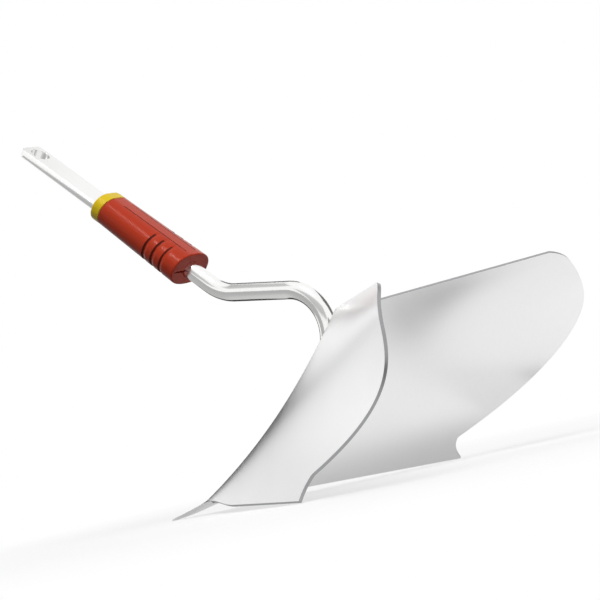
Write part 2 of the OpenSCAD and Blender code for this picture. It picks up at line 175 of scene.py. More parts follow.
def new_material(name: str) -> tuple[Material, Graph]:
    """Starts a material.

    Args:
        name: Name of the material.

    Returns:
        The material and its nodes.
    """
    material = bpy.data.materials.new(name)
    material.use_nodes = True
    return material, Graph(material.node_tree)


class ShaderGroups:
    """Node groups that several finishes use, each built once."""

    def __init__(self) -> None:
        """Builds the groups."""
        self.grain = self._grain()
        self.handling = self._handling()

    @staticmethod
    def _group(name: str, inputs: list[str], output: str) -> Graph:
        """Makes an empty group with its sockets.

        Args:
            name: Name of the group.
            inputs: Names of the values that go in, beside the place.
            output: Name of the value that comes out.

        Returns:
            The nodes of the group.
        """
        tree = bpy.data.node_groups.new(name, "ShaderNodeTree")
        tree.interface.new_socket("Vector", in_out="INPUT", socket_type="NodeSocketVector")
        for label in inputs:
            tree.interface.new_socket(label, in_out="INPUT", socket_type="NodeSocketFloat")
        tree.interface.new_socket(output, in_out="OUTPUT", socket_type="NodeSocketFloat")
        return Graph(tree)

    def _grain(self) -> bpy.types.NodeTree:
        """Builds the fine surface texture.

        Returns:
            A group that gives layered noise as a height.
        """
        graph = self._group("surface_grain", ["Scale"], "Height")
        given = graph.add("NodeGroupInput").outputs
        noise = graph.add(
            "ShaderNodeTexNoise",
            {"Vector": given["Vector"], "Scale": given["Scale"], "Detail": 4, "Roughness": 0.6},
        )
        graph.add("NodeGroupOutput", {"Height": noise.outputs["Fac"]})
        return graph.tree

    def _handling(self) -> bpy.types.NodeTree:
        """Builds the faint cloudy patches that handling leaves.

        Returns:
            A group that gives a value between two limits.
        """
        graph = self._group("handling_marks", ["Low", "High"], "Value")
        given = graph.add("NodeGroupInput").outputs
        clouds = {"Vector": given["Vector"], "Scale": 25, "Detail": 3}
        noise = graph.add("ShaderNodeTexNoise", clouds)
        span = {"From Min": 0.3, "From Max": 0.7, "To Min": given["Low"], "To Max": given["High"]}
        held = graph.add("ShaderNodeMapRange", {"Value": noise.outputs["Fac"], **span})
        graph.add("NodeGroupOutput", {"Value": held.outputs["Result"]})
        return graph.tree


@dataclass(frozen=True)
class Finish:
    """One surface finish.

    Its roughness lies between two limits, and its grain has a scale and a height in millimetres.
    A laid weld bead also has ripples.
    """

    name: str
    colour: Point3
    shade: Point3
    metallic: float
    rough: Point2
    grain: Point2
    stretch: Point3 = (1.0, 1.0, 1.0)
    gloss: float = 0.5
    ripple: float = 0.0

    def material(self, groups: ShaderGroups) -> Material:
        """Builds the material.

        Args:
            groups: The shared effects.

        Returns:
            The new material.
        """
        material, graph = new_material(self.name)
        scale, depth = self.grain
        place = graph.add("ShaderNodeTexCoord").outputs["Object"]
        drawn = graph.add("ShaderNodeMapping", {"Vector": place, "Scale": self.stretch})
        fine = {"Vector": drawn.outputs["Vector"], "Scale": scale}
        height = graph.add("ShaderNodeGroup", fine, node_tree=groups.grain).outputs["Height"]
        limits = {"Vector": place, "Low": self.rough[0], "High": self.rough[1]}
        marks = graph.add("ShaderNodeGroup", limits, node_tree=groups.handling)
        tints = {"Factor": height, "A": (*self.colour, 1), "B": (*self.shade, 1)}
        tint = graph.add("ShaderNodeMix", tints, data_type="RGBA")
        if self.ripple:
            waves = {"Vector": place, "Scale": self.ripple, "Distortion": 2}
            wave = graph.add("ShaderNodeTexWave", waves, bands_direction="DIAGONAL")
            height = graph.add("ShaderNodeMath", {0: height, 1: wave.outputs["Fac"]}).outputs[0]
        relief = {"Strength": 1.0, "Distance": depth * MM, "Height": height}
        bump = graph.add("ShaderNodeBump", relief)
        graph.feed(
            graph.tree.nodes["Principled BSDF"],
            {
                "Base Color": tint.outputs["Result"],
                "Metallic": self.metallic,
                "Roughness": marks.outputs["Value"],
                "Specular IOR Level": self.gloss,
                "Normal": bump.outputs["Normal"],
            },
        )
        return material


BLADE_STEEL = Finish(
    "bright_pressed_steel", (0.95, 0.95, 0.95), (0.91, 0.91, 0.91),
    metallic=1.0, rough=(0.28, 0.33), grain=(260, 0.002), stretch=(1, 6, 1),
)
# The wings' cut edges: a rougher sheared finish, and a darker grey that is painted shade of the
# floor they face.
CUT_STEEL_SHADED = Finish(
    "cut_sheet_edge_painted_shade", (0.46, 0.46, 0.47), (0.3, 0.3, 0.31),
    metallic=1.0, rough=(0.3, 0.42), grain=(1400, 0.012),
)
BAR_STEEL = Finish(
    "drawn_bar_steel", (0.96, 0.96, 0.95), (0.92, 0.92, 0.91),
    metallic=1.0, rough=(0.13, 0.18), grain=(420, 0.001), stretch=(1, 5, 5),
)
SLEEVE_RED = Finish(
    "brick_red_moulding", (0.47, 0.038, 0.011), (0.41, 0.032, 0.009),
    metallic=0.0, rough=(0.16, 0.22), grain=(1500, 0.004), gloss=0.13,
)
# Near-black red of the panel's lines: painted shade in the recess.
PAINTED_LINE_SHADE = Finish(
    "red_line_painted_shade", (0.060, 0.008, 0.004), (0.040, 0.005, 0.003),
    metallic=0.0, rough=(0.5, 0.6), grain=(1500, 0.006), gloss=0.1,
)
# Darker red of the finger grooves' steep rear sides: painted shade.
PAINTED_GROOVE_SHADE = Finish(
    "red_groove_painted_shade", (0.13, 0.014, 0.007), (0.09, 0.010, 0.005),
    metallic=0.0, rough=(0.4, 0.5), grain=(1500, 0.006), gloss=0.1,
)
COLLAR_YELLOW = Finish(
    "yellow_moulding", (0.72, 0.52, 0.004), (0.66, 0.46, 0.003),
    metallic=0.0, rough=(0.28, 0.38), grain=(1500, 0.008), gloss=0.25,
)
WELD_STEEL = Finish(
    "laid_weld_bead", (0.50, 0.49, 0.47), (0.30, 0.28, 0.30),
    metallic=1.0, rough=(0.34, 0.52), grain=(900, 0.12), ripple=260,
)


# Mesh helpers


@dataclass(frozen=True)
class Place:
    """Where the drawing's own frame lies in the part's frame, in millimetres and degrees."""

    shift_x: float = -82.9687
    shift_z: float = -0.0039
    root_x: float = 45.1134
    root_z: float = 145.673
    handle_slope: float = 42.4

    def drawing(self) -> Matrix:
        """Matrix from the drawing in millimetres to the part in metres."""
        return Matrix.Scale(MM, 4) @ Matrix.Translation((self.shift_x, 0, self.shift_z))

    def handle(self) -> Matrix:
        """Matrix from the handle's axis in millimetres to the part in metres."""
        turn = Matrix.Rotation(math.radians(self.handle_slope), 4, "Y")
        return self.drawing() @ Matrix.Translation((self.root_x, 0, self.root_z)) @ turn


PLACE = Place()


def add_object(name: str, data: bpy.types.ID) -> Object:
    """Puts a new object into the scene.

    Args:
        name: Name of the object.
        data: Its mesh, light or camera.

    Returns:
        The object.
    """
    made = bpy.data.objects.new(name, data)
    bpy.context.scene.collection.objects.link(made)
    return made


def add_mesh(bm: BMesh, name: str, materials: list[Material]) -> Object:
    """Turns a bmesh into an object.

    Args:
        bm: The mesh, which is freed.
        name: Name of the object.
        materials: Its materials, by index.

    Returns:
        The object.
    """
    mesh = bpy.data.meshes.new(name)
    bm.to_mesh(mesh)
    bm.free()
    for material in materials:
        mesh.materials.append(material)
    return add_object(name, mesh)


def finish_piece(
    bm: BMesh, name: str, place: Matrix, materials: list[Material], nodes: list[str],
    slot: Slot, sharp: float,
) -> Object:
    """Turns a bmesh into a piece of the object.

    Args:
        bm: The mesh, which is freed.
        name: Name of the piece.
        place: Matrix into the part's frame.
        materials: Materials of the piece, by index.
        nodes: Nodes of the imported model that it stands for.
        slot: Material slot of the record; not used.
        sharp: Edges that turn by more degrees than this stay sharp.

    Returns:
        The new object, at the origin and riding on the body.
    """
    bm.transform(place)
    piece = add_mesh(bm, name, materials)
    piece.data.shade_smooth()
    piece.data.set_sharp_from_angle(angle=math.radians(sharp))
    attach(piece, "root")
    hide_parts(*nodes)
    LOG.info("%s: %d faces", name, len(piece.data.polygons))
    return piece


def soften(piece: Object, width: float, angle: float) -> None:
    """Softens the edges of a piece.

    Args:
        piece: The piece.
        width: Width of the softened edges in millimetres.
        angle: Edges that turn by more degrees than this are softened.
    """
    soft = piece.modifiers.new("soft_edges", "BEVEL")
    soft.width = width * MM
    soft.segments = 2
    soft.limit_method = "ANGLE"
    soft.angle_limit = math.radians(angle)
    soft.harden_normals = True


def thicken(
    piece: Object, wall: float, side: float, rim: int = 0, even: bool = True
) -> bpy.types.SolidifyModifier:
    """Gives a sheet its wall.

    Args:
        piece: The sheet.
        wall: Wall in millimetres.
        side: Side that the wall grows to, from -1 to 1.
        rim: Material index step of the cut edges.
        even: Whether the wall keeps its thickness round corners.

    Returns:
        The step that makes the wall.
    """
    step = piece.modifiers.new("wall", "SOLIDIFY")
    step.thickness = wall * MM
    step.offset = side
    step.use_even_offset = even
    step.material_offset_rim = rim
    return step


def grid_sheet(columns: int, rows: int) -> tuple[BMesh, dict[bmesh.types.BMVert, tuple[int, int]]]:
    """Starts a sheet of cells.

    Args:
        columns: Cells across.
        rows: Cells along.

    Returns:
        The mesh, ready for a wall share, and the row and column of each vertex.
    """
    bm = bmesh.new()
    bm.verts.layers.deform.verify()
    made = bmesh.ops.create_grid(bm, x_segments=columns, y_segments=rows, size=1.0)
    at = {
        v: (round((v.co.y + 1) / 2 * rows), round((v.co.x + 1) / 2 * columns))
        for v in made["verts"]
    }
    return bm, at


def tube(rings: list[list[Vector]], closed: bool) -> BMesh:
    """Draws a tube through rings of points.

    Args:
        rings: The rings, with the same number of points each.
        closed: Whether the last ring joins the first, instead of a cap at either end.

    Returns:
        The mesh.
    """
    count = len(rings[0])
    bm, at = grid_sheet(count, len(rings) if closed else len(rings) - 1)
    for v, (row, column) in at.items():
        v.co = rings[row % len(rings)][column % count]
    bmesh.ops.remove_doubles(bm, verts=list(bm.verts), dist=JOIN)
    if not closed:
        bmesh.ops.edgeloop_fill(bm, edges=[e for e in bm.edges if e.is_boundary])
    bmesh.ops.recalc_face_normals(bm, faces=bm.faces)
    return bm


# Blade


@dataclass
class Blade:
    """The pressed sheet: two wings on a curved spine, a tongue in front and a slot for the bar."""

    thickness: float = 2.2
    spine_length: float = 176.5
    spine_low: float = 25.8
    spine_top: float = 46.6
    spine_lift: float = 5.9
    wing_low: float = 27.2
    wing_top: float = 40.3
    flare_late: float = 1.8
    fold_low: float = 22.0
    fold_top: float = 7.0
    top_edge: float = 4.0
    heel_back: float = 147.0
    lip_back: float = 154.5
    lip_height: float = 15.0
    rear_back: float = 252.0
    rear_height: float = 90.5
    corner_back: float = 248.5
    corner_radius: float = 7.0
    notch_bend: float = 2.2
    tongue_length: float = 30.0
    root_width: float = 29.8
    tongue_width: float = 12.5
    tip_width: float = 2.5
    tip_thickness: float = 1.0
    tip_late: float = 3.0
    tip_slope: float = 6.0
    tongue_root: float = 5.8
    root_run: float = 24.0
    root_narrow: float = 6.0
    root_bunch: float = 1.5
    root_pull: float = 0.5
    root_fade: int = 6
    slot_length: float = 34.0
    slot_half: float = 6.5
    slot_radius: float = 3.0
    slot_reach: float = 4.0
    core_spread: float = 1.7
    wing_bunch: float = 1.5
    tongue_rows: int = 28
    root_rows: int = 2
    low_rows: int = 72
    slot_rows: int = 28
    core: int = 8
    slot_columns: int = 4
    wing_columns: int = 52
    edge_passes: int = 8
    sharp: float = 80.0
    edge_soft: float = 0.3
    edge_angle: float = 50.0

    @property
    def slot_share(self) -> float:
        """Share of the spine that lies below the slot."""
        return 1 - self.slot_length / self.spine_length

    def spine_point(self, v: float) -> Point2:
        """Finds a place on the spine.

        Args:
            v: Share of its length.

        Returns:
            How far back and how high it lies.
        """
        low = math.radians(self.spine_low)
        a = math.radians(mix(self.spine_low, self.spine_top, v))
        r = self.spine_length / math.radians(self.spine_top - self.spine_low)
        lift = self.spine_lift + r * (math.cos(low) - math.cos(a))
        return r * (math.sin(a) - math.sin(low)), lift

    def wing_slope(self, v: float) -> float:
        """Tangent of the angle between the middle plane and a wing."""
        flare = ease(limit(v) ** self.flare_late)
        return math.tan(math.radians(mix(self.wing_low, self.wing_top, flare)))

    def fold(self, v: float) -> float:
        """Softness of the fold."""
        return mix(self.fold_low, self.fold_top, v)

    def climb(self, v: float) -> float:
        """Rise of a row towards its free edge."""
        low = (self.thickness / 2 - self.spine_lift) / self.heel_back
        return mix(low, math.tan(math.radians(self.top_edge)), v)

    def swept(self, v: float, y: float) -> float:
        """How far back the sheet lies at a sideways place."""
        return math.hypot(self.fold(v), y / self.wing_slope(v)) - self.fold(v)

    def sheet_point(self, v: float, y: float) -> Vector:
        """Point of the sheet's middle surface at a row share and a sideways place."""
        (x, z), back = self.spine_point(v), self.swept(v, y)
        return Vector((x + back, y, z + self.climb(v) * back))

    def outline(self, z: float) -> float:
        """Follows the free edge: heel notch, lower curve, and upper curve with its corner.

        Args:
            z: Height.

        Returns:
            How far back the edge lies.
        """
        top_x, top_z = self.spine_point(1)
        top = top_z + math.tan(math.radians(self.top_edge)) * (self.corner_back - top_x)
        if z < self.lip_height:
            notch = limit(z / self.lip_height) ** self.notch_bend
            return mix(self.heel_back, self.lip_back, notch)
        if z < self.rear_height:
            share = (self.rear_height - z) / (self.rear_height - self.lip_height)
            return mix(self.rear_back, self.lip_back, share**2)
        share = (z - self.rear_height) / (top - self.rear_height)
        corner = round_off(top - z, self.corner_radius)
        return mix(self.rear_back, self.corner_back, share**2) - corner

    def half_span(self, v: float) -> float:
        """Finds where a row meets the free edge.

        Args:
            v: Row share.

        Returns:
            The sideways place.
        """
        x, z = self.spine_point(v)
        back = self.heel_back
        for _ in range(self.edge_passes):
            back = self.outline(z + self.climb(v) * back) - x
        fold = self.fold(v)
        return self.wing_slope(v) * math.sqrt((back + fold) ** 2 - fold**2)

    def core_places(self, v: float) -> Point2:
        """Sideways places of the slot's column and of the core's last column on a wing row."""
        k, root, slot = ease(limit(v / self.slot_share)), self.root_width / 2, self.slot_half
        return (
            mix(root * self.slot_columns / self.core, slot, k),
            mix(root, slot * self.core_spread, k),
        )

    def core_place(self, column: int, inner: float, half: float) -> float:
        """Sideways place of a column of the core, from the slot's column and the core's last."""
        past = (column - self.slot_columns) / (self.core - self.slot_columns)
        return mix(inner, half, past) if past > 0 else inner * column / self.slot_columns

    def column_place(self, v: float, column: int) -> float:
        """Spaces all columns of a wing row, with the slot's rounded corners.

        Args:
            v: Row share.
            column: Column of the grid.

        Returns:
            The column's sideways place.
        """
        inner, half = self.core_places(v)
        if column > self.core:
            share = ((column - self.core) / self.wing_columns) ** self.wing_bunch
            return mix(half, self.half_span(v), share)
        place = self.core_place(column, inner, half)
        if column >= self.slot_columns:
            share = (self.core - column) / (self.core - self.slot_columns)
            place += share * round_off((1 - v) * self.spine_length, self.slot_radius)
        return place

    def bent_row(self, v: float, y: float) -> float:
        """Bends a row up at the tongue's root and down round the slot's end.

        Args:
            v: Row share.
            y: Sideways place.

        Returns:
            The row share there.
        """
        root = self.tongue_root / self.spine_length
        rise = root * ease(limit(1 - max(0.0, y - self.root_width / 2) / self.root_run))
        dip = math.sqrt(max(0.0, self.slot_half**2 - y * y)) / self.spine_length
        away = abs(v - self.slot_share) * self.spine_length
        near = limit(1 - away / (self.slot_reach * self.slot_half))
        return v + rise * (1 - v) ** self.root_fade - dip * near

    def tongue_share(self, row: int) -> float:
        """How far out on the tongue a row lies, from 0 at the root to 1 at the tip."""
        out = 1 - row / self.tongue_rows
        return out**self.root_bunch if row < self.tongue_rows else 0.0

    def wall_share(self, row: int) -> float:
        """Share of the sheet's wall that is left on a row, less towards the tip."""
        return mix(1, self.tip_thickness / self.thickness, self.tongue_share(row) ** self.tip_late)

    def tongue_point(self, t: float, column: int) -> Vector:
        """Finds a point of the tongue, which follows a cubic curve.

        Args:
            t: Share of the way from its root to its tip.
            column: Column of the core.

        Returns:
            The point.
        """
        v = self.tongue_root / self.spine_length
        root = Vector(self.spine_point(v))
        tip = Vector((-self.tongue_length, self.tip_thickness / 2))
        reach = (root.x - tip.x) / 3
        slope = math.radians(mix(self.spine_low, self.spine_top, v))
        end = math.radians(self.tip_slope)
        a = root - self.root_pull * reach * Vector((math.cos(slope), math.sin(slope)))
        b = tip + reach * Vector((math.cos(end), math.sin(end)))
        p = (1 - t) ** 3 * root + 3 * t * (1 - t) ** 2 * a + 3 * t * t * (1 - t) * b + t**3 * tip
        half = mix(self.tongue_width, self.tip_width, t**self.tip_late) / 2
        half += (self.root_width - self.tongue_width) / 2 * (1 - t) ** self.root_narrow
        y = self.core_place(column, half * self.slot_columns / self.core, half)
        back = self.swept(v, y) * (1 - t)
        return Vector((p.x + back, y, p.y + self.climb(v) * back))

    def row_share(self, row: int) -> float:
        """Spaces the wing rows, closer at the bottom and at both ends of the slot.

        Args:
            row: Row above the tongue.

        Returns:
            The row's share of the spine.
        """
        if row < self.low_rows:
            return self.slot_share * (1 - math.cos(QUARTER * row / self.low_rows))
        turn = math.pi * (row - self.low_rows) / self.slot_rows
        return mix(self.slot_share, 1, (1 - math.cos(turn)) / 2)

    def point(self, row: int, column: int) -> Vector:
        """Finds a point of the grid.

        Args:
            row: Row from the tip of the tongue.
            column: Column from the middle, negative on the mirrored side.

        Returns:
            The point.
        """
        side, c = (-1 if column < 0 else 1), abs(column)
        if row < self.tongue_rows:
            p = self.tongue_point(self.tongue_share(row), min(c, self.core))
        else:
            v = self.row_share(row - self.tongue_rows)
            y = self.column_place(v, c)
            p = self.sheet_point(self.bent_row(v, y), y)
        return Vector((p.x, side * p.y, p.z))

    def build(self, steel: Material, cut: Material) -> Object:
        """Builds the blade.

        Args:
            steel: Finish of the faces and of the tongue's edges.
            cut: Finish of the wings' cut edges, rougher and painted darker as painted shade.

        Returns:
            The blade.
        """
        middle = self.core + self.wing_columns
        slot_row = self.tongue_rows + self.low_rows
        bm, at = grid_sheet(2 * middle, slot_row + self.slot_rows)
        unwanted = []
        for face in bm.faces:
            row = min(at[v][0] for v in face.verts)
            column = min(at[v][1] for v in face.verts) - middle
            on_tongue = row < self.tongue_rows - self.root_rows
            face.material_index = BladeFace.TONGUE if on_tongue else BladeFace.WING
            beside_tongue = row < self.tongue_rows and not -self.core <= column < self.core
            in_slot = row >= slot_row and -self.slot_columns <= column < self.slot_columns
            if beside_tongue or in_slot:
                unwanted.append(face)
        bmesh.ops.delete(bm, geom=unwanted, context="FACES")
        wall = bm.verts.layers.deform.active
        for v in bm.verts:
            row, column = at[v]
            v.co = self.point(row, column - middle)
            v[wall][0] = self.wall_share(row)
        bmesh.ops.recalc_face_normals(bm, faces=bm.faces)
        # The wings' cut edges take the darker cut finish, painted shade; the tongue's edges stay
        # bright.
        finishes = [steel, cut, steel, steel]
        piece = finish_piece(
            bm, "blade_sheet", PLACE.drawing(), finishes, ["blade"], Slot.BLADE, self.sharp
        )
        group = piece.vertex_groups.new(name="wall")
        thicken(piece, self.thickness, 0, rim=1).vertex_group = group.name
        soften(piece, self.edge_soft, self.edge_angle)
        return piece


# Bar


@dataclass
class Bar:
    """The round bar with its two bends, and the flat tang that is forged on its end."""

    diameter: float = 12.0
    neck_slope: float = 9.3
    neck_length: float = 44.0
    rear_centre: Point2 = (69.388, 172.257)
    front_centre: Point2 = (102.387, 101.494)
    stub_slope: float = 102.5
    stub_length: float = 17.0
    end_round: float = 0.8
    forge_start: float = -25.0
    flat_start: float = -43.0
    tang_width: float = 20.5
    tang_thickness: float = 5.5
    flat_square: float = 0.35
    sides: int = 96
    rear_steps: int = 24
    front_steps: int = 48
    end_rows: int = 3
    sharp: float = 40.0
    tang_merge: float = 0.5
    tang_soft: float = 0.15
    tang_angle: float = 25.0

    def frames(self) -> list[Matrix]:
        """Follows the bar from its flat end inside the sleeve to its lower end.

        Returns:
            Where each ring stands, with the bar along its own X axis.
        """
        root = Matrix.Translation((PLACE.root_x, 0, PLACE.root_z))
        handle = root @ Matrix.Rotation(math.radians(PLACE.handle_slope), 4, "Y")
        starts = (self.flat_start, self.forge_start, 0)
        found = [handle @ Matrix.Translation((x, 0, 0)) for x in starts]
        rise, fall = self.neck_slope - PLACE.handle_slope, self.stub_slope - self.neck_slope
        for (x, z), angle, steps, run in (
            (self.rear_centre, rise, self.rear_steps, self.neck_length),
            (self.front_centre, fall, self.front_steps, self.stub_length),
        ):
            middle, last = Matrix.Translation((x, 0, z)), found[-1]
            for k in range(1, steps + 1):
                turn = Matrix.Rotation(math.radians(angle * k / steps), 4, "Y")
                found.append(middle @ turn @ middle.inverted() @ last)
            found.append(found[-1] @ Matrix.Translation((run, 0, 0)))
        return found

    def section(self, width: float, height: float, power: float = 1.0) -> list[Vector]:
        """Draws a section of the bar.

        Args:
            width: Its width.
            height: Its height.
            power: Power of the oval, which is squarer where this is less than 1.

        Returns:
            Points of the section.
        """
        turns = [2 * math.pi * k / self.sides for k in range(self.sides)]
        pairs = [(math.cos(a), math.sin(a)) for a in turns]
        bent = [[math.copysign(abs(k) ** power, k) for k in pair] for pair in pairs]
        return [Vector((0, width / 2 * c, height / 2 * s)) for c, s in bent]

    def neck(self, steel: Material) -> Object:
        """Builds the round part of the bar, with the forged end that the sleeve hides.

        Args:
            steel: Finish of the bar.

        Returns:
            The neck.
        """
        first, *frames, end = self.frames()
        forged = self.section(self.tang_width, self.tang_thickness, self.flat_square)
        plain = self.section(self.diameter, self.diameter)
        rings = [[first @ p for p in forged]] + [[frame @ p for p in plain] for frame in frames]
        for k in range(self.end_rows + 1):
            a, r = QUARTER * k / self.end_rows, self.end_round
            at = end @ Matrix.Translation((r * (math.sin(a) - 1), 0, 0))
            size = self.diameter - 2 * r * (1 - math.cos(a))
            rings.append([at @ p for p in self.section(size, size)])
        bm = tube(rings, closed=False)
        return finish_piece(
            bm, "neck", PLACE.drawing(), [steel], ["neck_bar"], Slot.BAR, self.sharp
        )

    def tang(self, node: Object, steel: Material) -> Object:
        """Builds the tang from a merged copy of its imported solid, with softened edges.

        Args:
            node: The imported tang.
            steel: Finish of the bar.

        Returns:
            The tang.
        """
        bm = bmesh.new()
        bm.from_mesh(node.data)
        bmesh.ops.remove_doubles(bm, verts=list(bm.verts), dist=JOIN * MM)
        flat = math.radians(self.tang_merge)
        bmesh.ops.dissolve_limit(
            bm, angle_limit=flat, verts=list(bm.verts), edges=list(bm.edges)
        )
        piece = finish_piece(
            bm, "tang_flat", Matrix.Identity(4), [steel], ["tang"], Slot.BAR, self.tang_angle
        )
        soften(piece, self.tang_soft, self.tang_angle)
        return piece


# Sleeve and collar


@dataclass
class Sleeve:
    """One of the two moulded shells, and the collar behind them, along the handle's axis."""

    upper: bool = True
    front: float = -19.0
    rear: float = -93.0
    rear_size: Point2 = (29.0, 21.0)
    front_size: Point2 = (36.0, 23.0)
    rise: float = 0.8
    square: float = 2.3
    panel_width: float = 9.0
    panel_crown: float = 0.15
    panel_start: float = 10.0
    panel_length: float = 59.0
    line_width: float = 0.6
    line_depth: float = 0.5
    line_floor: float = 0.7
    line_run: float = 0.4
    rear_gap: float = 0.25
    rear_round: float = 0.35
    rim: float = 1.0
    mouth_half: Point2 = (6.2, 6.1)
    mouth_depth: float = 5.0
    slit: Point2 = (0.35, 0.8)
    slit_run: int = 2
    parting: float = -1.0
    seam: float = 0.06
    wall: float = 1.8
    edge_soft: float = 0.18
    edge_angle: float = 50.0
    sharp: float = 40.0
    groove_first: float = 12.0
    groove_pitch: float = 8.0
    groove_count: int = 3
    groove_width: float = 4.0
    groove_depth: float = 0.9
    groove_steep: float = 0.22
    groove_reach: float = 1.6
    groove_fade: float = 0.35
    shade_from: float = 0.04
    shade_run: float = 1.5
    shade_side: float = 0.75
    collar_gap: float = 0.05
    collar_length: float = 7.5
    collar_recess: float = 4.25
    collar_edge: float = 0.3
    collar_round: float = 1.5
    collar_wall: float = 2.2
    tang_hole: Point2 = (10.5, 3.0)
    side_columns: int = 44
    line_columns: int = 3
    panel_columns: int = 16
    collar_columns: int = 128
    rear_rows: int = 3
    body_rows: int = 200
    rim_rows: int = 6
    face_rows: int = 8
    mouth_rows: int = 3

    def share(self, x: float) -> float:
        """Share of the way from the rear end to the front end."""
        return limit((x - self.rear) / (self.front - self.rear))

    def half(self, x: float, inset: float) -> Point2:
        """Half width and half height of a ring that lies inside the oval by an inset."""
        k, ends = self.share(x), zip(self.rear_size, self.front_size)
        return tuple(mix(rear, front, k) / 2 - inset for rear, front in ends)

    def up(self, x: float) -> float:
        """How far the oval's middle lies above the axis."""
        return mix(self.rise, 0, self.share(x))

    def groove(self, x: float, a: float) -> float:
        """Cuts the finger grooves, which are steep at the rear.

        Args:
            x: Station along the axis.
            a: Angle round it.

        Returns:
            Depth of the grooves.
        """
        depth = 0.0
        for k in range(self.groove_count):
            middle = self.front - self.groove_first - k * self.groove_pitch
            t = (x - middle) / self.groove_width + 0.5
            if 0 < t < self.groove_steep:
                depth = ease(t / self.groove_steep)
            elif self.groove_steep <= t < 1:
                depth = 1 - ease((t - self.groove_steep) / (1 - self.groove_steep))
        side = ease(limit(self.groove_reach * abs(math.cos(a)) - self.groove_fade))
        return self.groove_depth * depth * side

    def in_shade(self, x: float, a: float) -> bool:
        """Finds the steep rear sides of the finger grooves, which take painted shade.

        Args:
            x: Station along the axis.
            a: Angle round it.

        Returns:
            Whether the place lies on one.
        """
        into = (x - self.front + self.groove_first) / self.groove_pitch
        k = limit(-round(into) / (self.groove_count - 1)) * (self.groove_count - 1)
        t = (into + k) * self.groove_pitch / self.groove_width + 0.5
        steep = self.shade_from < t < self.shade_run * self.groove_steep
        return steep and self.groove_reach * abs(math.cos(a)) > self.shade_side

    def outside(self, x: float, a: float, inset: float) -> Point2:
        """Finds a point of the oval, with its flat panel and its grooves.

        Args:
            x: Station along the axis.
            a: Angle round it.
            inset: How far the ring lies inside the oval.

        Returns:
            How far sideways and how high it lies.
        """
        hy, hz = self.half(x, inset)
        c, s, power = math.cos(a), math.sin(a), 2 / self.square
        y = hy * math.copysign(abs(c) ** power, c)
        z = hz * math.copysign(abs(s) ** power, s)
        flat = hz * (1 - (self.panel_width / 2 / hy) ** self.square) ** (1 / self.square)
        if z > flat:
            z = mix(flat, z, self.panel_crown)
        k = 1 - self.groove(x, a) / math.hypot(y, z)
        return y * k, z * k + self.up(x)

    def angle_at(self, x: float, y: float, inset: float) -> float:
        """Angle of the oval's point at a sideways place on the upper side."""
        share = limit(abs(y) / self.half(x, inset)[0]) ** (self.square / 2)
        return math.acos(share) if y >= 0 else math.pi - math.acos(share)

    def low_angle(self, x: float, inset: float) -> float:
        """Angle at which the oval meets the parting plane."""
        z = (self.parting - self.up(x)) / self.half(x, inset)[1]
        return math.copysign(math.asin(abs(z) ** (self.square / 2)), z)

    def line_here(self, x: float) -> float:
        """Depth of the panel's lines at a station."""
        into, run = x - self.rear - self.panel_start, self.line_run
        return self.line_depth * limit(into / run) * limit((self.panel_length - into) / run)

    def angles(self, x: float, inset: float) -> list[Point2]:
        """Spaces the points of a ring.

        Args:
            x: Station along the axis.
            inset: How far the ring lies inside the oval.

        Returns:
            Angle and depth of the panel's line, from one parting edge to the other.
        """
        low = self.low_angle(x, inset)
        if not self.upper:
            n = 2 * self.side_columns
            return [(mix(low, -math.pi - low, k / n), 0.0) for k in range(n + 1)]
        edge, half_line, depth = self.panel_width / 2, self.line_width / 2, self.line_here(x)
        first = self.angle_at(x, edge + half_line, inset)
        n = self.side_columns
        side = [(mix(low, first, k / n), 0.0) for k in range(n)]
        profile = ((1, 0.0), (self.line_floor, depth), (-self.line_floor, depth), (-1, 0.0))
        line = [(self.angle_at(x, edge + half_line * s, inset), d) for s, d in profile]
        inner, n = edge - half_line, self.panel_columns
        top = [(self.angle_at(x, mix(inner, -inner, k / n), inset), 0.0) for k in range(1, n)]
        mirrored = [(math.pi - a, d) for a, d in reversed(side + line)]
        return side + line + top + mirrored

    def ring(self, x: float, inset: float) -> list[Point2]:
        """Draws the outside of one shell at a station.

        Args:
            x: Station along the axis.
            inset: How far the ring lies inside the oval.

        Returns:
            Points of the ring.
        """
        points = []
        for a, depth in self.angles(x, inset):
            y, z = self.outside(x, a, inset)
            points.append((y, z - depth))
        edge = self.parting + (self.seam if self.upper else -self.seam) / 2
        points[0], points[-1] = (points[0][0], edge), (points[-1][0], edge)
        return points

    def mouth(self, count: int) -> list[Point2]:
        """Draws the bar's mouth in the front wall.

        Args:
            count: Number of points.

        Returns:
            Points of the ring.
        """
        hy, hz = self.mouth_half
        low = math.asin(self.parting / hz)
        end = math.pi - low if self.upper else -math.pi - low
        turns = [mix(low, end, k / (count - 1)) for k in range(count)]
        return [(hy * math.cos(a), hz * math.sin(a)) for a in turns]

    def parted(self, ring: list[Point2], gap: float) -> list[Point2]:
        """Draws a ring of the front face back from the parting plane.

        Args:
            ring: Points of the ring.
            gap: How far its edges go back.

        Returns:
            The ring, with its middle left in place.
        """
        end = max(z for _, z in ring) if self.upper else min(z for _, z in ring)
        step = gap if self.upper else -gap
        return [(y, z + step * (1 - (z - self.parting) / (end - self.parting))) for y, z in ring]

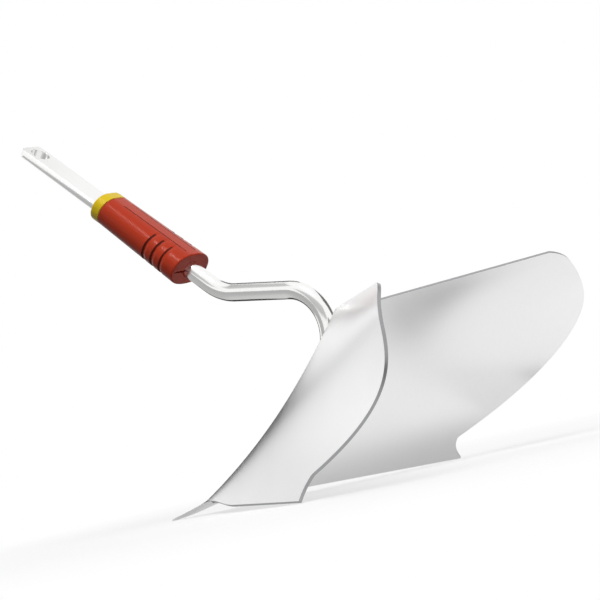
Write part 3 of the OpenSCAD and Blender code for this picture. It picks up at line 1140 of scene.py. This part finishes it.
    def rows(self) -> list[Station]:
        """Draws all rings of a shell, from its rear edge over the front face into the mouth.

        Returns:
            Station and points of each ring.
        """
        start, end = self.rear + self.rear_gap, self.front - self.rim
        found = []
        for k in range(self.rear_rows):
            a = QUARTER * k / self.rear_rows
            x, inset = start + self.rear_round * (1 - math.cos(a)), 1 - math.sin(a)
            found.append((x, self.ring(start, self.rear_round * inset)))
        for k in range(self.body_rows + 1):
            x = mix(start + self.rear_round, end, k / self.body_rows)
            found.append((x, self.ring(x, 0)))
        for k in range(1, self.rim_rows + 1):
            a = QUARTER * k / self.rim_rows
            x = end + self.rim * math.sin(a)
            found.append((x, self.ring(x, self.rim * (1 - math.cos(a)))))
        outer = found[-1][1]
        hole = self.mouth(len(outer))
        for k in range(1, self.face_rows + 1):
            t = k / self.face_rows
            face = [(mix(o[0], h[0], t), mix(o[1], h[1], t)) for o, h in zip(outer, hole)]
            gap = mix(*self.slit, t) * limit(k / self.slit_run)
            found.append((self.front, self.parted(face, gap)))
        for k in range(1, self.mouth_rows + 1):
            x = self.front - self.mouth_depth * k / self.mouth_rows
            found.append((x, self.parted(hole, self.slit[1])))
        return found

    def shell(self, finishes: list[Material]) -> Object:
        """Builds the shell.

        Args:
            finishes: Finishes of the shell, then the painted shade of the panel's lines and of the
                grooves' steep sides.

        Returns:
            The shell.
        """
        rows = self.rows()
        columns = len(rows[0][1]) - 1
        bm, at = grid_sheet(columns, len(rows) - 1)
        for v, (row, column) in at.items():
            x, points = rows[row]
            v.co = (x, *points[column])
        for face in bm.faces:
            column, x = min(at[v][1] for v in face.verts), face.calc_center_median().x
            past_side = min(column, columns - 1 - column) - self.side_columns
            in_line = self.upper and 0 <= past_side < self.line_columns
            # The panel's lines and the grooves' steep rear sides get darker reds: painted shade.
            if in_line and all(self.line_here(v.co.x) > 0 for v in face.verts):
                face.material_index = ShellFace.LINE
            elif x < self.front - self.rim:
                if self.in_shade(x, self.angles(x, 0)[column][0]):
                    face.material_index = ShellFace.STEEP
        bm.normal_update()
        side = 1 if self.upper else -1
        middle = max(bm.faces, key=lambda f: f.calc_center_median().z * side)
        if middle.normal.z * side < 0:
            bmesh.ops.reverse_faces(bm, faces=bm.faces)
        name = "sleeve_upper" if self.upper else "sleeve_lower"
        piece = finish_piece(
            bm, name, PLACE.handle(), finishes, [f"{name}_shell"], Slot.SLEEVE, self.sharp
        )
        thicken(piece, self.wall, -1, even=False)
        soften(piece, self.edge_soft, self.edge_angle)
        return piece

    def collar(self, plastic: Material) -> Object:
        """Builds the collar: recess, front edge, rounded back and the tang's hole.

        Args:
            plastic: Finish of the collar.

        Returns:
            The collar, a closed ring round the tang.
        """
        front, back = self.rear - self.collar_gap, self.rear - self.collar_length
        recess = front - self.collar_recess
        turns = [2 * math.pi * k / self.collar_columns for k in range(self.collar_columns)]

        def oval(inset: float) -> list[Point2]:
            """Ring of the collar's outline."""
            return [self.outside(self.rear, a, inset) for a in turns]

        hole, (hy, hz) = [], self.tang_hole
        for y, z in oval(0):
            k = min(hy / max(abs(y), TINY), hz / max(abs(z), TINY))
            hole.append((y * k, z * k))
        rings = [
            (recess, oval(self.collar_wall)),
            (front, oval(self.collar_wall)),
            (front, oval(self.collar_edge)),
            (front - self.collar_edge, oval(0)),
        ]
        for k in range(self.rim_rows + 1):
            a, r = QUARTER * k / self.rim_rows, self.collar_round
            rings.append((back + r * (1 - math.sin(a)), oval(r * (1 - math.cos(a)))))
        rings += [(back, hole), (recess, hole)]
        bm = tube([[Vector((x, *p)) for p in points] for x, points in rings], closed=True)
        return finish_piece(
            bm, "collar", PLACE.handle(), [plastic], ["collar_ring"], Slot.COLLAR, self.sharp
        )


# Studio

TARGET = (0, 0, 0.1)
# Height of the painted floor reflection, below the real floor.
MIRROR_LOW = -0.1
ON_MIRROR = MIRROR_LOW + 0.001


def around(azimuth: float, elevation: float, distance: float) -> Point3:
    """Finds a place in a direction from the object.

    Args:
        azimuth: Degrees from -Y towards +X.
        elevation: Degrees above the object.
        distance: Metres from it.

    Returns:
        The place.
    """
    a, e = math.radians(azimuth), math.radians(elevation)
    flat = distance * math.cos(e)
    return flat * math.sin(a), -flat * math.cos(a), TARGET[2] + distance * math.sin(e)


@dataclass(frozen=True)
class Card:
    """A glowing grey card that only reflections see: a painted reflection, which lights nothing
    and casts no shadow.

    Its greys are the brightness at the lower left, lower right, upper left and upper right, as
    the object sees it, and its middle has another brightness where one is given. A lying card
    is turned by so many degrees. Another card stands and faces the object, or where it says.
    """

    name: str
    at: Point3
    size: Point2
    greys: tuple[float, float, float, float]
    middle: float | None = None
    lying: float | None = None
    facing: Point3 | None = None
    cells: int = 16

    def grey(self, at: Vector) -> float:
        """Blends the brightness of the corners and the middle.

        Args:
            at: Place on the card, from -0.5 to 0.5 each way.

        Returns:
            The brightness there.
        """
        across, up, greys = at.x + 0.5, at.y + 0.5, self.greys
        grey = mix(mix(greys[0], greys[1], across), mix(greys[2], greys[3], across), up)
        if self.middle is None:
            return grey
        return mix(grey, self.middle, ease(limit(1 - 2 * at.length)))

    def build(self) -> None:
        """Puts the card up."""
        bm = bmesh.new()
        shade = bm.verts.layers.float.new("grey")
        made = bmesh.ops.create_grid(bm, x_segments=self.cells, y_segments=self.cells, size=0.5)
        for v in made["verts"]:
            v[shade] = self.grey(v.co)
        if self.lying is None:
            aim = Vector(self.facing) if self.facing else Vector(TARGET) - Vector(self.at)
            turn = aim.to_track_quat("Z", "Y").to_matrix().to_4x4()
        else:
            turn = Matrix.Rotation(math.radians(self.lying), 4, "Z")
        size = Matrix.Diagonal((*self.size, 1, 1))
        bm.transform(Matrix.Translation(self.at) @ turn @ size)
        material, graph = new_material(self.name)
        grey = graph.add("ShaderNodeAttribute", attribute_name="grey").outputs["Fac"]
        glow = graph.add("ShaderNodeEmission", {"Strength": grey})
        graph.feed(graph.tree.nodes["Material Output"], {"Surface": glow.outputs[0]})
        card = add_mesh(bm, self.name, [material])
        card.visible_camera = card.visible_diffuse = False
        card.visible_shadow = card.visible_transmission = False


# Painted reflections: cards that put dark, grey and bright tones into the metal's reflections
# where the studio has none.
CARDS = (
    Card(
        "card_beside_spine", (-0.15, 0.19, 0.06), (0.3, 0.13), (0.0, 0.0, 0.1, 0.1),
        facing=(1, 0, 0),
    ),
    Card("card_behind_left", around(-141, 41, 1.5), (0.6, 0.6), (0.12,) * 4),
    Card("card_high_left", around(-78, 53, 1.5), (1.25, 0.6), (0.62, 0.1, 0.66, 0.4)),
    Card("card_left", around(-108, 31, 1.5), (0.7, 0.36), (0.6, 0.6, 0.5, 0.5)),
    Card("card_low_left", around(-45, -1, 1.5), (1.5, 0.76), (0.45,) * 4),
    Card("card_in_front", around(16, 28, 1.9), (2.6, 1.1), (0.5, 0.5, 0.6, 0.6)),
    # A card glowing at fourteen times white over the sleeve, seen only in reflections: a painted
    # highlight on the plastic and the bar.
    Card("box_overhead", around(37, 71, 1.5), (0.36, 0.36), (14.0,) * 4),
    Card("card_behind_right", around(150, 28, 1.9), (1.5, 1.3), (0.15,) * 4),
    # A painted reflection of the floor, lying below the real floor, which reflections do not see;
    # the cards on it paint its light and dark patches.
    Card("mirror_floor", (0, 0, MIRROR_LOW), (6.0, 6.0), (0.9,) * 4, lying=0),
    Card("light_behind", (0.122, 0.05, 0.002), (0.05, 0.05), (0.76,) * 4, lying=0),
    Card("dark_horizon", around(-141, -2, 2.0), (1.4, 0.3), (0.15,) * 4),
    Card("left_floor", (-0.28, -0.5, ON_MIRROR), (0.28, 2.2), (0.5, 0.7, 0.5, 0.7), lying=0),
    Card(
        "far_left_floor", (-1.145, -0.5, ON_MIRROR), (1.45, 2.2), (0.42, 0.5, 0.42, 0.5), lying=0
    ),
    # Painted shadow of the object on that floor, seen only in reflections.
    Card(
        "painted_shadow_behind", (0.202, -0.042, ON_MIRROR), (0.14, 0.19), (0.9,) * 4, middle=0.0, lying=0
    ),
    Card("painted_shadow_edge", (0.0, 0.008, ON_MIRROR), (0.3, 0.04), (0.9, 0.9, 0.5, 0.5), lying=12),
    Card("painted_shadow_under", (-0.021, 0.106, ON_MIRROR), (0.3, 0.16), (0.5,) * 4, lying=12),
)


@dataclass
class Studio:
    """Camera, floor, light and the cards of painted reflection."""

    lens: float = 165.0
    sensor: float = 36.0
    clip: Point2 = (0.05, 50)
    camera_at: Point3 = (1.09431, -1.371749, 0.068505)
    right: Point3 = (0.766969, 0.603191, -0.21894)
    forward: Point3 = (-0.612485, 0.789893, 0.030653)
    floor_size: float = 6.0
    floor_white: float = 0.6
    floor_tone: float = 0.8
    floor_bounce: float = 0.14
    floor_rough: float = 0.9
    fade: Point2 = (0.16, 0.42)
    plain_light: float = 0.2

    def camera(self) -> None:
        """Sets the camera at the photograph's viewing angle."""
        data = bpy.data.cameras.new("camera")
        data.lens, data.sensor_width = self.lens, self.sensor
        data.clip_start, data.clip_end = self.clip
        camera = add_object("camera", data)
        back = -Vector(self.forward).normalized()
        side = Vector(self.right)
        side = (side - side.dot(back) * back).normalized()
        turn = Matrix((side, back.cross(side), back)).transposed().to_4x4()
        camera.matrix_world = Matrix.Translation(self.camera_at) @ turn
        bpy.context.scene.camera = camera

    def world(self) -> None:
        """White surroundings for the camera and for reflections, softer for plain light."""
        world = bpy.data.worlds.new("studio")
        world.use_nodes = True
        bpy.context.scene.world = world
        graph = Graph(world.node_tree)
        plain = graph.tree.nodes["Background"]
        graph.feed(plain, {"Color": WHITE, "Strength": self.plain_light})
        seen = graph.add("ShaderNodeBackground", {"Color": WHITE})
        path = graph.add("ShaderNodeLightPath").outputs
        rays = {0: path["Is Camera Ray"], 1: path["Is Glossy Ray"]}
        either = graph.add("ShaderNodeMath", rays, operation="MAXIMUM")
        choice = graph.add(
            "ShaderNodeMixShader",
            {"Fac": either.outputs[0], 1: plain.outputs[0], 2: seen.outputs[0]},
        )
        graph.feed(graph.tree.nodes["World Output"], {"Surface": choice.outputs[0]})

    def floor(self) -> None:
        """Lays the pale floor, which fades to white away from the object."""
        bm = bmesh.new()
        bmesh.ops.create_grid(bm, x_segments=1, y_segments=1, size=self.floor_size)
        material, graph = new_material("pale_floor")
        path = graph.add("ShaderNodeLightPath").outputs
        tones = {"A": (*[self.floor_tone] * 3, 1), "B": (*[self.floor_bounce] * 3, 1)}
        tone = graph.add(
            "ShaderNodeMix", {"Factor": path["Is Diffuse Ray"], **tones}, data_type="RGBA"
        )
        plain = graph.tree.nodes["Principled BSDF"]
        dull = {"Roughness": self.floor_rough, "Specular IOR Level": 0.0}
        graph.feed(plain, {"Base Color": tone.outputs["Result"], **dull})
        white = graph.add("ShaderNodeEmission", {"Color": WHITE})
        place = graph.add("ShaderNodeTexCoord").outputs["Object"]
        away = graph.add("ShaderNodeVectorMath", {0: place}, operation="LENGTH")
        span = {"From Min": self.fade[0], "From Max": self.fade[1], "To Min": self.floor_white}
        fade = graph.add("ShaderNodeMapRange", {"Value": away.outputs["Value"], **span})
        rays = {0: path["Is Camera Ray"], 1: fade.outputs["Result"]}
        seen = graph.add("ShaderNodeMath", rays, operation="MULTIPLY")
        choice = graph.add(
            "ShaderNodeMixShader",
            {"Fac": seen.outputs[0], 1: plain.outputs[0], 2: white.outputs[0]},
        )
        graph.feed(graph.tree.nodes["Material Output"], {"Surface": choice.outputs[0]})
        floor = add_mesh(bm, "floor", [material])
        # Reflections see the painted mirror_floor card instead of this floor.
        floor.visible_glossy = False

    @staticmethod
    def lamp(name: str, at: Point3, size: Point2, power: float) -> None:
        """Hangs a soft box that faces the object.

        Args:
            name: Name of the lamp.
            at: Where it hangs.
            size: Width and height.
            power: Watts.
        """
        data = bpy.data.lights.new(name, "AREA")
        data.shape, data.energy = "RECTANGLE", power
        data.size, data.size_y = size
        lamp = add_object(name, data)
        lamp.location = at
        lamp.rotation_mode = "QUATERNION"
        lamp.rotation_quaternion = (Vector(TARGET) - Vector(at)).to_track_quat("-Z", "Y")
        lamp.visible_glossy = False

    def build(self) -> None:
        """Sets up the whole studio."""
        bpy.context.scene.view_settings.view_transform = "Standard"
        self.camera()
        self.world()
        self.floor()
        self.lamp("key_box", (0.6, -0.6, 1.6), (1.6, 1.2), power=30)
        self.lamp("fill_box", (-0.8, 0.9, 1.1), (1.2, 1.2), power=9)
        for card in CARDS:
            card.build()


def main() -> None:
    """Builds every piece and the studio."""
    logging.basicConfig(level=logging.INFO)
    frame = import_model()
    groups = ShaderGroups()
    Blade().build(BLADE_STEEL.material(groups), CUT_STEEL_SHADED.material(groups))
    bar, steel = Bar(), BAR_STEEL.material(groups)
    bar.neck(steel)
    bar.tang(frame["nodes"]["tang"], steel)
    # The plain red, then the painted shade of the panel's lines and of the grooves.
    reds = [finish.material(groups) for finish in (SLEEVE_RED, PAINTED_LINE_SHADE, PAINTED_GROOVE_SHADE)]
    for upper in (True, False):
        Sleeve(upper).shell(reds)
    Sleeve().collar(COLLAR_YELLOW.material(groups))
    bead = WELD_STEEL.material(groups)
    for name in ("weld_left", "weld_right"):
        for slot in frame["nodes"][name].material_slots:
            slot.material = bead
        LOG.info("%s: dressed", name)
    Studio().build()


if __name__ == "__main__":
    main()
